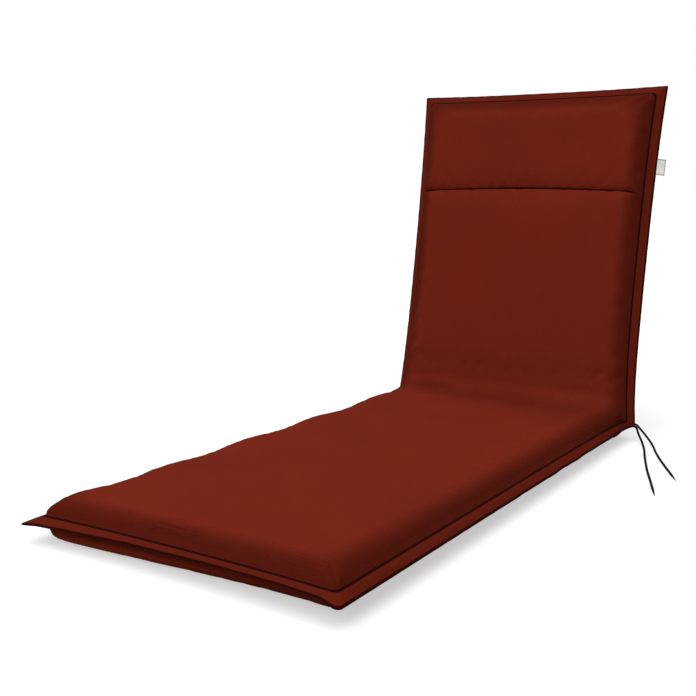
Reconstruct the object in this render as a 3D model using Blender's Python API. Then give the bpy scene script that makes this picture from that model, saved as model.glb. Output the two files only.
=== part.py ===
# Sun lounger cushion: one filled pad with a stitched stand-up hem, folded into seat and back,
# with a bare side tag and two loose ties. Metres, +Z up. The pad is modelled from the foot hem
# (y = 0) towards the back, and an empty moves it so that the origin is under its middle.

import bpy
import bmesh
from math import cos, exp, pi, radians, sin, sqrt, tan
from mathutils import Vector

# Overall sizes of the pad
WIDTH = 0.600                 # hem to hem, at the corners
SEAT_LENGTH = 1.1626          # foot hem to the fold, along the seam
BACK_LENGTH = 0.7396          # fold to the top hem, along the seam
BACK_ANGLE = radians(80.2)    # the back's rise from the flat seat
SEAM_HEIGHT = 0.041           # the seam above the ground, which is also the lower filling
CROWN_HEIGHT = 0.031          # the upper filling above the seam
CROWN_DOME = 0.08             # extra rise at the middle of the width, a share of the crown
CENTRE_SHIFT = -0.6602        # moves the pad's mid-length to the origin

# The stand-up hem round the pad
HEM_THICKNESS = 0.003
HEM_FRONT = 0.025
HEM_SIDE = 0.021
HEM_TOP = 0.018
HEM_DROOP = -0.010            # the outer edge below the seam, on the long sides and the top
HEM_CORNER_RADIUS = 0.0035
SEAM_CORNER_RADIUS = 0.012
UPPER_CORNER_RADIUS = 0.050
LOWER_CORNER_RADIUS = 0.034

# How the filling draws the hem inwards between its corners
FRONT_BOW = 0.012
TOP_BOW = 0.0035
END_BOW_POWER = 2.5
BOW_FADE = 0.120              # how far in from an end its bow still moves the cloth
LOWER_SLANT = 0.006           # the lower filling's foot end lies further back on the right
SEAT_BOW = 0.009
SEAT_BOW_END = 60             # power: the seat's bow lasts almost to the fold
# Columns for the back: depth, power at the fold, power at the top
BACK_BOW_LEFT = (0.0090, 6, 4)
BACK_BOW_RIGHT = (0.0105, 10, 5)

# The foot hem's outer edge above or below the seam, across the pad
# Columns: place across the half width, height
FOOT_HEM = (
    (-1.00, -0.010),
    (-0.85, -0.007),
    (-0.65, -0.005),
    (-0.20, 0.000),
    (0.25, 0.002),
    (0.65, 0.001),
    (0.87, -0.001),
    (1.00, -0.010),
)

# Bends at the fold
HEM_BEND = 0.006
CROWN_BEND = 0.038
HEEL_BEND = 0.048

# Shoulders of the filling: the width over which it rises from the seam
UPPER_SHOULDER = 0.044
LOWER_SHOULDER = 0.034
UPPER_POWER = 2.1
LOWER_POWER = 2.2
CORNER_SLACK = 0.10           # how much less the filling stands at the corners
CORNER_REACH = 0.085

# Headrest channel, sewn through across the back
CHANNEL_FROM_TOP = 0.239
CHANNEL_DIP = 0.008           # how much lower its ends lie than its middle
CHANNEL_DEPTH = 0.46          # share of the filling's height
CHANNEL_HALF_WIDTH = 0.013
CHANNEL_LINES = (-0.050, -0.030, -0.016, -0.007, 0.0, 0.007, 0.016, 0.030, 0.050)

# Rows of points: distances inside the seam, then spacing over the flat of the pad
SHOULDER_ROWS = (0.0025, 0.008, 0.016, 0.028, 0.044)
ACROSS_ROWS = 8
SEAT_ROWS = 14
BACK_ROWS = 5
BEND_ROWS = 9
FOLD_ROWS = (0.120, 0.070, 0.035, 0.014)

# Bare folded side tag, sewn into the right hem of the back
TAG_FROM_TOP = 0.1580
TAG_HEIGHT = 0.0345
TAG_WIDTH = 0.0180
TAG_THICKNESS = 0.0010
TAG_FOLD_THICKNESS = 0.0019
TAG_SAG = 0.0020
TAG_CURL = 0.0018
TAG_STEPS = 8

# Ties: routes from the right fold corner down to the ground, one row for each point
GAP = 0.0003
TIE_DIAMETER = 0.0035
TIE_STEP = 0.0085
LONG_TIE = (
    (0.3004, 1.1668, 0.0309),
    (0.3034, 1.1667, 0.0307),
    (0.3062, 1.1657, 0.0286),
    (0.3088, 1.1632, 0.0248),
    (0.3110, 1.1607, 0.0208),
    (0.3136, 1.1580, 0.0170),
    (0.3194, 1.1520, 0.0108),
    (0.3262, 1.1420, 0.0058),
    (0.3340, 1.1250, 0.0031),
    (0.3445, 1.0988, 0.0021),
    (0.3563, 1.0640, 0.0020),
    (0.3683, 1.0280, 0.0020),
    (0.3833, 0.9856, 0.0020),
    (0.3990, 0.9424, 0.0020),
    (0.4127, 0.9075, 0.0020),
    (0.4260, 0.8746, 0.0020),
    (0.4434, 0.8301, 0.0020),
    (0.4619, 0.7832, 0.0020),
)
SHORT_TIE = (
    (0.3004, 1.1714, 0.0350),
    (0.3036, 1.1713, 0.0346),
    (0.3072, 1.1706, 0.0324),
    (0.3112, 1.1696, 0.0290),
    (0.3158, 1.1685, 0.0250),
    (0.3205, 1.1674, 0.0208),
    (0.3250, 1.1660, 0.0168),
    (0.3300, 1.1630, 0.0128),
    (0.3400, 1.1540, 0.0068),
    (0.3548, 1.1290, 0.0026),
    (0.3645, 1.1060, 0.0020),
    (0.3739, 1.0841, 0.0020),
    (0.3947, 1.0398, 0.0020),
    (0.4141, 1.0014, 0.0020),
    (0.4300, 0.9704, 0.0020),
    (0.4446, 0.9431, 0.0020),
    (0.4560, 0.9213, 0.0020),
    (0.4665, 0.9012, 0.0020),
)

# Worked out from the sizes above
HALF_TURN = tan(BACK_ANGLE / 2)
HALF_WIDTH = WIDTH / 2


def smooth_step(value):
    value = min(max(value, 0.0), 1.0)
    return value * value * (3 - 2 * value)


def table_value(table, place):
    """Height from a table of (place, height) rows, eased from row to row."""
    for (left, low), (right, high) in zip(table, table[1:]):
        if place <= right:
            return low + (high - low) * smooth_step((place - left) / (right - left))
    return table[-1][1]


def run_point(station, offset, radius):
    """(y, z) on a line that runs `offset` above the seam, with its bend rounded to `radius`.
    A station is its stretch (seat, bend or back) and the share of that stretch."""
    stretch, share = station
    shorter = HALF_TURN * (offset + radius)
    bend_start = SEAT_LENGTH - shorter
    height = SEAM_HEIGHT + offset
    if stretch == "seat":
        return share * bend_start, height
    turn = BACK_ANGLE * (share if stretch == "bend" else 1.0)
    y = bend_start + radius * sin(turn)
    z = height + radius * (1 - cos(turn))
    if stretch == "back":
        run = share * (BACK_LENGTH - shorter)
        y += run * cos(BACK_ANGLE)
        z += run * sin(BACK_ANGLE)
    return y, z


def seat_share(distance):
    return distance / (SEAT_LENGTH - HALF_TURN * HEM_BEND)


def back_share(distance_from_top):
    return 1 - distance_from_top / (BACK_LENGTH - HALF_TURN * HEM_BEND)


def spaced(first, last, count):
    """Values strictly between first and last."""
    return [first + (last - first) * step / (count + 1) for step in range(1, count + 1)]


def across_insets():
    """Distances of the lengthwise rows from the left hem's edge."""
    edge = [0.0, HEM_SIDE] + [HEM_SIDE + row for row in SHOULDER_ROWS]
    middle = spaced(edge[-1], WIDTH - edge[-1], ACROSS_ROWS)
    return edge + middle + [WIDTH - value for value in reversed(edge)]


def length_stations():
    """Stations of the crosswise rows, from the foot hem to the top hem."""
    front = [0.0, HEM_FRONT] + [HEM_FRONT + row for row in SHOULDER_ROWS]
    top = [HEM_TOP + row for row in reversed(SHOULDER_ROWS)] + [HEM_TOP, 0.0]
    fold = [SEAT_LENGTH - row for row in FOLD_ROWS]
    seat = front + spaced(front[-1], fold[0], SEAT_ROWS) + fold
    channel = [CHANNEL_FROM_TOP - row for row in CHANNEL_LINES]
    rise = [BACK_LENGTH - row for row in reversed(FOLD_ROWS)]
    back = rise + spaced(rise[-1], channel[0], BACK_ROWS) + channel
    back += spaced(channel[-1], top[0], 2) + top
    rows = [("seat", seat_share(value)) for value in seat]
    rows += [("bend", step / (BEND_ROWS - 1)) for step in range(BEND_ROWS)]
    rows += [("back", back_share(value)) for value in back]
    return rows


def developed(station):
    """Distance from the foot hem along the seam."""
    stretch, share = station
    seat_run = SEAT_LENGTH - HALF_TURN * HEM_BEND
    bend_run = HEM_BEND * BACK_ANGLE
    back_run = BACK_LENGTH - HALF_TURN * HEM_BEND
    if stretch == "seat":
        return share * seat_run
    if stretch == "bend":
        return seat_run + share * bend_run
    return seat_run + bend_run + share * back_run


def station_at(distance):
    """The station at a distance from the foot hem along the seam."""
    seat_run = SEAT_LENGTH - HALF_TURN * HEM_BEND
    bend_run = HEM_BEND * BACK_ANGLE
    back_run = BACK_LENGTH - HALF_TURN * HEM_BEND
    if distance <= seat_run:
        return "seat", distance / seat_run
    if distance <= seat_run + bend_run:
        return "bend", (distance - seat_run) / bend_run
    return "back", (distance - seat_run - bend_run) / back_run


def side_bow(station, across):
    """How far the long sides are drawn in at a station."""
    stretch, share = station
    if stretch == "seat":
        return SEAT_BOW * share * (1 - share ** SEAT_BOW_END)
    if stretch == "back":
        depth, fold_power, top_power = BACK_BOW_LEFT if across < 0 else BACK_BOW_RIGHT
        return depth * (1 - (1 - share) ** fold_power) * (1 - share ** top_power)
    return 0.0


def rounded(inset_a, inset_b, corner_a, corner_b, radius):
    """Moves a point of a square ring on to the ring's rounded corner."""
    along_a = inset_a - corner_a
    along_b = inset_b - corner_b
    along = max(along_a, along_b)
    if along >= radius:
        return inset_a, inset_b
    angle = pi / 4 * (1 - along / radius)
    near = radius * (1 - cos(angle))
    far = radius * (1 - sin(angle))
    if along_a >= along_b:
        return corner_a + far, corner_b + near
    return corner_a + near, corner_b + far


def shoulder(distance, width, power):
    """Share of the full height at a distance inside the seam."""
    if distance >= width:
        return 1.0
    return (1 - (1 - distance / width) ** power) ** (1 / power)


def channel_dip(across):
    return CHANNEL_DIP * across ** 2


def channel_share(from_top, across, inside):
    """What the headrest channel leaves of the filling's height."""
    channel = CHANNEL_FROM_TOP + channel_dip(across)
    groove = exp(-abs(from_top - channel) / CHANNEL_HALF_WIDTH)
    return 1 - CHANNEL_DEPTH * groove * smooth_step(inside / UPPER_SHOULDER)


class PadGrid:
    """Rows and columns shared by the upper and the lower face of the pad."""

    def __init__(self):
        self.insets = across_insets()
        self.stations = length_stations()
        self.runs = [developed(station) for station in self.stations]
        self.total = self.runs[-1]
        self.columns = len(self.insets)
        self.rows = len(self.stations)
        self.last_ring = 1 + len(SHOULDER_ROWS)

    def ring_radius(self, ring, side):
        if ring == 0:
            return HEM_CORNER_RADIUS
        if ring > self.last_ring:
            return 0.0
        inside = (0.0, *SHOULDER_ROWS)[ring - 1] / SHOULDER_ROWS[-1]
        full = UPPER_CORNER_RADIUS if side > 0 else LOWER_CORNER_RADIUS
        return SEAM_CORNER_RADIUS + (full - SEAM_CORNER_RADIUS) * inside

    def point(self, column, row, side):
        """A point of the upper (side 1) or lower (side -1) face."""
        from_left = column < self.columns / 2
        from_foot = row < self.rows / 2
        column_in = column if from_left else self.columns - 1 - column
        row_in = row if from_foot else self.rows - 1 - row
        ring = min(column_in, row_in)

        # Plan position, with the ring's corner rounded
        inset = self.insets[column_in]
        run = self.runs[row] if from_foot else self.total - self.runs[row]
        corner_run = self.runs[ring] if from_foot else self.total - self.runs[-1 - ring]
        corner_inset = self.insets[ring]
        radius = self.ring_radius(ring, side)
        inset, run = rounded(inset, run, corner_inset, corner_run, radius)
        across = (1 - inset / HALF_WIDTH) * (-1 if from_left else 1)
        end_bow = FRONT_BOW if from_foot else TOP_BOW
        end_bow *= 1 - abs(across) ** END_BOW_POWER
        if from_foot and side < 0 and ring > 1:
            end_bow += LOWER_SLANT * across
        run += end_bow * max(0.0, 1 - run / BOW_FADE)
        distance = run if from_foot else self.total - run
        if abs(self.total - self.runs[row] - CHANNEL_FROM_TOP) <= CHANNEL_LINES[-1] + 0.001:
            distance -= channel_dip(across)
        station = station_at(distance)
        x = across * (HALF_WIDTH - side_bow(station, across))

        # Height above or below the seam
        if ring <= 1:
            droop = 0.0 if ring == 1 else self.droop(across, distance)
            offset = droop + side * HEM_THICKNESS / 2
            y, z = run_point(station, offset, HEM_BEND - side * HEM_THICKNESS / 2)
            return Vector((x, y, z))
        share = self.filling(ring, inset, run, across, distance, side)
        seam_y, seam_z = run_point(station, side * HEM_THICKNESS / 2,
                                   HEM_BEND - side * HEM_THICKNESS / 2)
        full = CROWN_HEIGHT if side > 0 else -SEAM_HEIGHT
        full_y, full_z = run_point(station, full, CROWN_BEND if side > 0 else HEEL_BEND)
        return Vector((x, seam_y + share * (full_y - seam_y), seam_z + share * (full_z - seam_z)))

    def droop(self, across, distance):
        """Height of the hem's outer edge over the seam."""
        foot = table_value(FOOT_HEM, across)
        return foot + (HEM_DROOP - foot) * smooth_step(distance / (2 * HEM_FRONT))

    def filling(self, ring, inset, run, across, distance, side):
        """Share of the filling's full height at a point inside the seam."""
        inside = SHOULDER_ROWS[min(ring, self.last_ring) - 2]
        width, power = (
            (UPPER_SHOULDER, UPPER_POWER) if side > 0 else (LOWER_SHOULDER, LOWER_POWER)
        )
        share = shoulder(inside, width, power)
        to_corner = sqrt(inset ** 2 + run ** 2)
        share *= 1 - CORNER_SLACK * exp(-(to_corner / CORNER_REACH) ** 2) * (side > 0)
        side_inside = HALF_WIDTH - HEM_SIDE - abs(across) * HALF_WIDTH
        share *= channel_share(self.total - distance, across, side_inside)
        if side > 0:
            share *= 1 + CROWN_DOME * smooth_step(inset / HALF_WIDTH) * smooth_step(run / HALF_WIDTH)
        return share


def fabric(name, colour, roughness):
    material = bpy.data.materials.new(name)
    material.use_nodes = True
    shader = material.node_tree.nodes["Principled BSDF"]
    shader.inputs["Base Color"].default_value = (*colour, 1.0)
    shader.inputs["Roughness"].default_value = roughness
    shader.inputs["Metallic"].default_value = 0.0
    return material


def place(name, data, parent, material):
    item = bpy.data.objects.new(name, data)
    item.parent = parent
    item.data.materials.append(material)
    bpy.context.collection.objects.link(item)
    return item


def finish_mesh(name, work, sharp_angle):
    bmesh.ops.recalc_face_normals(work, faces=work.faces)
    mesh = bpy.data.meshes.new(name)
    work.to_mesh(mesh)
    work.free()
    mesh.shade_smooth()
    mesh.set_sharp_from_angle(angle=sharp_angle)
    return mesh


def build_cushion(parent):
    grid = PadGrid()
    work = bmesh.new()
    faces = {}
    for side in (1, -1):
        faces[side] = [
            [work.verts.new(grid.point(column, row, side)) for column in range(grid.columns)]
            for row in range(grid.rows)
        ]
        points = faces[side]
        for row in range(grid.rows - 1):
            for column in range(grid.columns - 1):
                corners = [points[row][column], points[row][column + 1],
                           points[row + 1][column + 1], points[row + 1][column]]
                work.faces.new(corners if side > 0 else corners[::-1])
    last_row = grid.rows - 1
    last_column = grid.columns - 1
    rim = [(0, column) for column in range(last_column)]
    rim += [(row, last_column) for row in range(last_row)]
    rim += [(last_row, column) for column in range(last_column, 0, -1)]
    rim += [(row, 0) for row in range(last_row, 0, -1)]
    for (row, column), (next_row, next_column) in zip(rim, rim[1:] + rim[:1]):
        work.faces.new([faces[1][next_row][next_column], faces[1][row][column],
                        faces[-1][row][column], faces[-1][next_row][next_column]])
    mesh = finish_mesh("cushion", work, radians(50))
    return place("cushion", mesh, parent, fabric("terracotta_cloth", (0.178, 0.021, 0.010), 0.85))


def build_tag(parent):
    """A doubled strip that stands out from the hem's edge, with a soft fold at its outer end."""
    total = developed(("back", 1.0))
    upper = station_at(total - TAG_FROM_TOP)
    lower = station_at(total - TAG_FROM_TOP - TAG_HEIGHT)
    work = bmesh.new()
    rings = []
    for station in (lower, upper):
        y, z = run_point(station, HEM_DROOP, HEM_BEND)
        edge_x = HALF_WIDTH - side_bow(station, 1) + GAP
        ring = []
        for face in (1, -1):
            steps = range(TAG_STEPS + 1) if face > 0 else range(TAG_STEPS, -1, -1)
            for step in steps:
                share = step / TAG_STEPS
                bulge = TAG_THICKNESS + (TAG_FOLD_THICKNESS - TAG_THICKNESS) * share ** 3
                if step == TAG_STEPS:
                    bulge *= 0.5
                normal = face * bulge / 2 - TAG_CURL * share ** 2
                along = -TAG_SAG * share
                ring.append(work.verts.new((
                    edge_x + TAG_WIDTH * share,
                    y - normal * sin(BACK_ANGLE) + along * cos(BACK_ANGLE),
                    z + normal * cos(BACK_ANGLE) + along * sin(BACK_ANGLE),
                )))
        rings.append(ring)
    count = len(rings[0])
    for index in range(count):
        following = (index + 1) % count
        work.faces.new([rings[0][index], rings[0][following], rings[1][following], rings[1][index]])
    for ring in rings:
        for step in range(TAG_STEPS):
            work.faces.new([ring[step], ring[step + 1], ring[count - 2 - step],
                            ring[count - 1 - step]])
    mesh = finish_mesh("side_tag", work, radians(40))
    return place("side_tag", mesh, parent, fabric("tag_satin", (0.80, 0.80, 0.78), 0.5))


def smooth_route(points, step):
    """Even points along a smooth curve through the route's own points, the first two kept."""
    guide = [Vector(point) for point in points]
    guide = [2 * guide[0] - guide[1]] + guide + [2 * guide[-1] - guide[-2]]
    fine = []
    parts = 12
    for index in range(1, len(guide) - 2):
        before, start, end, after = guide[index - 1:index + 3]
        for part in range(parts):
            share = part / parts
            fine.append(0.5 * (2 * start + (end - before) * share
                               + (2 * before - 5 * start + 4 * end - after) * share ** 2
                               + (3 * start - before - 3 * end + after) * share ** 3))
    fine.append(guide[-2])
    reach = [0.0]
    for first, second in zip(fine, fine[1:]):
        reach.append(reach[-1] + (second - first).length)
    count = round(reach[-1] / step)
    route = []
    index = 0
    for number in range(count + 1):
        want = reach[-1] * number / count
        while index < len(fine) - 2 and reach[index + 1] < want:
            index += 1
        share = (want - reach[index]) / (reach[index + 1] - reach[index])
        route.append(fine[index].lerp(fine[index + 1], min(share, 1.0)))
    route.insert(1, guide[2])
    return route


def build_tie(name, points, parent, material):
    route = smooth_route(points, TIE_STEP)
    curve = bpy.data.curves.new(name, "CURVE")
    curve.dimensions = "3D"
    curve.bevel_depth = TIE_DIAMETER / 2
    curve.bevel_resolution = 2
    curve.use_fill_caps = True
    curve.twist_mode = "MINIMUM"
    spline = curve.splines.new("POLY")
    spline.points.add(len(route) - 1)
    for spot, place_on_route in zip(spline.points, route):
        spot.co = (*place_on_route, 1.0)
    spline.use_smooth = True
    return place(name, curve, parent, material)


for item in list(bpy.data.objects):
    bpy.data.objects.remove(item)

origin = bpy.data.objects.new("pad_centre", None)
origin.location = (0.0, CENTRE_SHIFT, 0.0)
bpy.context.collection.objects.link(origin)

build_cushion(origin)
build_tag(origin)
cord_material = fabric("tie_cord", (0.020, 0.011, 0.008), 0.8)
build_tie("tie_long", LONG_TIE, origin, cord_material)
build_tie("tie_short", SHORT_TIE, origin, cord_material)
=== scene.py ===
from math import cos, pi, radians, sin, tan
import bpy
import numpy as np
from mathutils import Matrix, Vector, noise


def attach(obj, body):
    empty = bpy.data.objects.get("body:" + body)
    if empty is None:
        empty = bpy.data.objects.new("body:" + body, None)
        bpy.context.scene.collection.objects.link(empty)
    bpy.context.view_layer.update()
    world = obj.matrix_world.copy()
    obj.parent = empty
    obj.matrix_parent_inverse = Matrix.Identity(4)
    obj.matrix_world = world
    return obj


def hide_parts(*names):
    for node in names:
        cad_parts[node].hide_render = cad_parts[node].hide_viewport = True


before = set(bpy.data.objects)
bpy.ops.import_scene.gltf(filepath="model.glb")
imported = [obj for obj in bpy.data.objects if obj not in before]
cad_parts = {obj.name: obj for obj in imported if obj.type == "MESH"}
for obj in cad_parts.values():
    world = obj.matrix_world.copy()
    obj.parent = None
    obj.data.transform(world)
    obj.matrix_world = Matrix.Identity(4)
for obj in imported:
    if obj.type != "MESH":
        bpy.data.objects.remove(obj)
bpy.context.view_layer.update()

padCentre = -0.6602  # the pad is drawn from its foot hem, y = 0, and moved by this


# camera at the height of a low table, square to the horizon
view = {
    "place": (0.97149, -1.66344, 0.56019),
    "direction": (-0.54092, 0.82567, -0.16023),
    "lens": 52.81,
}


def makeCamera():
    data = bpy.data.cameras.new("camera")
    data.lens = view["lens"]
    data.sensor_width = 36
    data.clip_end = 60
    camera = bpy.data.objects.new("camera", data)
    camera.location = view["place"]
    camera.rotation_euler = Vector(view["direction"]).to_track_quat("-Z", "Y").to_euler()
    bpy.context.collection.objects.link(camera)
    bpy.context.scene.camera = camera


makeCamera()
print("camera set")


# sizes of the pad, its hem and its headrest channel
pad = {
    "width": 0.600, "seatLength": 1.1626, "backLength": 0.7396, "backAngle": radians(80.2),
    "seamHeight": 0.041, "crownHeight": 0.031, "crownDome": 0.08,
    "upperShoulder": (0.044, 2.1), "lowerShoulder": (0.034, 2.2),
    "upperCorner": 0.050, "lowerCorner": 0.034, "seamCorner": 0.012,
    "cornerSlack": 0.10, "cornerReach": 0.085,
    "hemBend": 0.006, "crownBend": 0.038, "heelBend": 0.048,
    "clothStep": 0.0062,
}
hem = {
    "front": 0.025, "side": 0.021, "top": 0.018, "thickness": 0.003, "edgeRound": 0.0006,
    "droop": -0.010, "corner": 0.0035, "nearCorner": 0.010,
    "frontBow": 0.012, "topBow": 0.0035, "bowPower": 2.5, "bowFade": 0.120, "lowerSlant": 0.030,
    "seatBow": (0.009, 60),
    "backBowLeft": (0.0090, 6, 4), "backBowRight": (0.0105, 10, 5),
    "foldTuck": (0.0045, 0.16),  # the filling pushes the seam outwards beside the fold
    "tuckFade": (0.060, 0.008),  # how far inside the seam that fades, on the upper and the lower face
    # foot hem's outer edge: place across the half width, height over the seam
    "footLine": ((-1.00, -0.010), (-0.85, -0.007), (-0.65, -0.005), (-0.20, 0.000),
                 (0.25, 0.002), (0.65, 0.001), (0.87, -0.001), (1.00, -0.010)),
}
channel = {
    "fromTop": 0.2455, "dip": 0.007, "depth": 0.30, "halfWidth": 0.005,
    "dipReach": (0.05, 0.09),  # the grid follows the dip for the first and lets go over the second
    "sideFade": 0.030,
}

hemShares = (0.0, 0.07, 0.17, 0.29, 0.44, 0.60, 0.76, 0.89, 0.965, 1.0)
insideRows = (0.0008, 0.0020, 0.0036, 0.0058, 0.0085, 0.012, 0.016, 0.0205, 0.0255, 0.031,
              0.037, 0.044, 0.050, 0.056, 0.062, 0.068, 0.074, 0.080)
channelRows = (0, 0.0012, 0.003, 0.0055, 0.009, 0.0135, 0.019, 0.0255, 0.033, 0.041, 0.050)
seamRing = len(hemShares) - 1
lastRing = seamRing + len(insideRows)
halfTurn = tan(pad["backAngle"] / 2)
seatRun = pad["seatLength"] - halfTurn * pad["hemBend"]
bendRun = pad["hemBend"] * pad["backAngle"]
backRun = pad["backLength"] - halfTurn * pad["hemBend"]
wholeRun = seatRun + bendRun + backRun


# shader groups that the cloth, thread, ribbon and cord share
def newGroup(name, inputs, outputs):
    group = bpy.data.node_groups.new(name, "ShaderNodeTree")
    for label, kind, value in inputs:
        socket = group.interface.new_socket(label, in_out="INPUT", socket_type=kind)
        if value is not None:
            socket.default_value = value
    for label, kind in outputs:
        group.interface.new_socket(label, in_out="OUTPUT", socket_type=kind)
    return group, group.nodes.new("NodeGroupInput"), group.nodes.new("NodeGroupOutput")


def maths(tree, operation, first, second=None, third=None):
    node = tree.nodes.new("ShaderNodeMath")
    node.operation = operation
    for socket, value in zip(node.inputs, (first, second, third)):
        if isinstance(value, (int, float)):
            socket.default_value = value
        elif value is not None:
            tree.links.new(value, socket)
    return node.outputs[0]


def makeWeaveGroup():
    # Plain weave: threads pass over each other in turn, so warp and weft take alternate cells
    group, start, end = newGroup(
        "plainWeave",
        [("Vector", "NodeSocketVector", None), ("Thread Pitch", "NodeSocketFloat", 0.0006)],
        [("Height", "NodeSocketFloat"), ("Warp", "NodeSocketFloat")],
    )
    split = group.nodes.new("ShaderNodeSeparateXYZ")
    group.links.new(start.outputs["Vector"], split.inputs[0])
    across = maths(group, "DIVIDE", split.outputs["X"], start.outputs["Thread Pitch"])
    along = maths(group, "DIVIDE", split.outputs["Y"], start.outputs["Thread Pitch"])
    warpRound = maths(group, "ABSOLUTE", maths(group, "SINE", maths(group, "MULTIPLY", across, pi)))
    weftRound = maths(group, "ABSOLUTE", maths(group, "SINE", maths(group, "MULTIPLY", along, pi)))
    cell = maths(group, "ADD", maths(group, "FLOOR", across), maths(group, "FLOOR", along))
    turn = maths(group, "ABSOLUTE", maths(group, "MODULO", cell, 2))
    overWarp = maths(group, "MULTIPLY", warpRound, turn)
    overWeft = maths(group, "MULTIPLY", weftRound, maths(group, "SUBTRACT", 1, turn))
    group.links.new(maths(group, "ADD", overWarp, overWeft), end.inputs["Height"])
    group.links.new(turn, end.inputs["Warp"])
    return group


def makeDriftGroup():
    # Slow or thread-like changes of tone, stretched either way, as a factor about 1
    group, start, end = newGroup(
        "toneDrift",
        [
            ("Vector", "NodeSocketVector", None),
            ("Scale", "NodeSocketVector", (5, 5, 5)),
            ("Amount", "NodeSocketFloat", 0.05),
            ("Detail", "NodeSocketFloat", 2),
        ],
        [("Factor", "NodeSocketFloat")],
    )
    stretch = group.nodes.new("ShaderNodeVectorMath")
    stretch.operation = "MULTIPLY"
    group.links.new(start.outputs["Vector"], stretch.inputs[0])
    group.links.new(start.outputs["Scale"], stretch.inputs[1])
    cloud = group.nodes.new("ShaderNodeTexNoise")
    cloud.inputs["Scale"].default_value = 1
    group.links.new(stretch.outputs[0], cloud.inputs["Vector"])
    group.links.new(start.outputs["Detail"], cloud.inputs["Detail"])
    centred = maths(group, "SUBTRACT", cloud.outputs[0], 0.5)
    swing = maths(group, "MULTIPLY", centred, maths(group, "MULTIPLY", start.outputs["Amount"], 4))
    group.links.new(maths(group, "ADD", swing, 1), end.inputs["Factor"])
    return group


weaveGroup = makeWeaveGroup()
driftGroup = makeDriftGroup()


def newMaterial(name):
    material = bpy.data.materials.new(name)
    material.use_nodes = True
    return material, material.node_tree, material.node_tree.nodes["Principled BSDF"]


def placeGroup(tree, group, vector, **values):
    node = tree.nodes.new("ShaderNodeGroup")
    node.node_tree = group
    tree.links.new(vector, node.inputs["Vector"])
    for label, value in values.items():
        node.inputs[label.replace("_", " ")].default_value = value
    return node


def uvPlace(tree, name):
    node = tree.nodes.new("ShaderNodeUVMap")
    node.uv_map = name
    return node.outputs[0]


def fade(tree, value, start, end):
    # 0 at start, 1 at end, smooth between
    node = tree.nodes.new("ShaderNodeMapRange")
    node.interpolation_type = "SMOOTHSTEP"
    tree.links.new(value, node.inputs["Value"])
    node.inputs["From Min"].default_value = start
    node.inputs["From Max"].default_value = end
    return node.outputs[0]


def tint(tree, colour, *factors):
    # colour times each factor in turn
    shade = tree.nodes.new("ShaderNodeVectorMath")
    shade.operation = "SCALE"
    shade.inputs[0].default_value = colour
    factor = factors[0]
    for other in factors[1:]:
        factor = maths(tree, "MULTIPLY", factor, other)
    tree.links.new(factor, shade.inputs["Scale"])
    return shade.outputs[0]


def shadeBy(tree, light, depth):
    # 1 where light is 1, and 1 - depth where it is 0
    missing = maths(tree, "MULTIPLY", maths(tree, "SUBTRACT", 1, light), depth)
    return maths(tree, "SUBTRACT", 1, missing)


def bump(tree, shader, height):
    node = tree.nodes.new("ShaderNodeBump")
    node.inputs["Strength"].default_value = 1
    node.inputs["Distance"].default_value = 1
    tree.links.new(height, node.inputs["Height"])
    tree.links.new(node.outputs[0], shader.inputs["Normal"])


cloth = {
    "colour": (0.160, 0.0172, 0.0078),
    "threadPitch": 0.00062,
    "threadRelief": 0.00004,
    "slub": 0.10,
    "drift": 0.05,
    "edgeShade": 0.80,      # painted shade: how much darker each part is painted than the open cloth
    "seamShade": 0.85,
    "hemShade": 0.30,
    "sideHemShade": 0.15,
    "sideShade": 0.46,
    "channelShade": 0.08,
    "foldShade": 0.22,
    "creaseRelief": 0.0009,
    "creaseShade": 0.20,
}
# soft creases: distance across the cloth and from the foot hem, half length, half width, painted shade,
# depth
foldCreases = (
    (-0.190, seatRun + 0.45 * bendRun, 0.060, 0.0024, 0.20, 0.0008),
    (0.289, seatRun - 0.005, 0.0016, 0.010, 0.85, 0),
)
# where the fine creases of the foot lie: distance across the cloth, half length, strength
footCreases = ((-0.020, 0.085, 1.0), (0.215, 0.060, 0.6))


# painted shade in the soft creases
def paintedFoldCreaseShade(tree, across, along):
    tone = 1.0
    for x, run, halfLength, halfWidth, shade, _ in foldCreases:
        aside = maths(tree, "DIVIDE", maths(tree, "SUBTRACT", across, x), halfLength)
        above = maths(tree, "DIVIDE", maths(tree, "SUBTRACT", along, run), halfWidth)
        apart = maths(tree, "ADD", maths(tree, "POWER", aside, 2), maths(tree, "POWER", above, 2))
        tone = maths(tree, "MULTIPLY", shadeBy(tree, fade(tree, apart, 0.0, 1.6), shade), tone)
    return tone


def footCreaseShare(tree, across):
    share = 0.12
    for x, halfLength, strength in footCreases:
        aside = maths(tree, "ABSOLUTE", maths(tree, "SUBTRACT", across, x))
        patch = maths(tree, "MULTIPLY", fade(tree, aside, halfLength, 0.2 * halfLength), strength)
        share = maths(tree, "MAXIMUM", patch, share)
    return share


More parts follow.
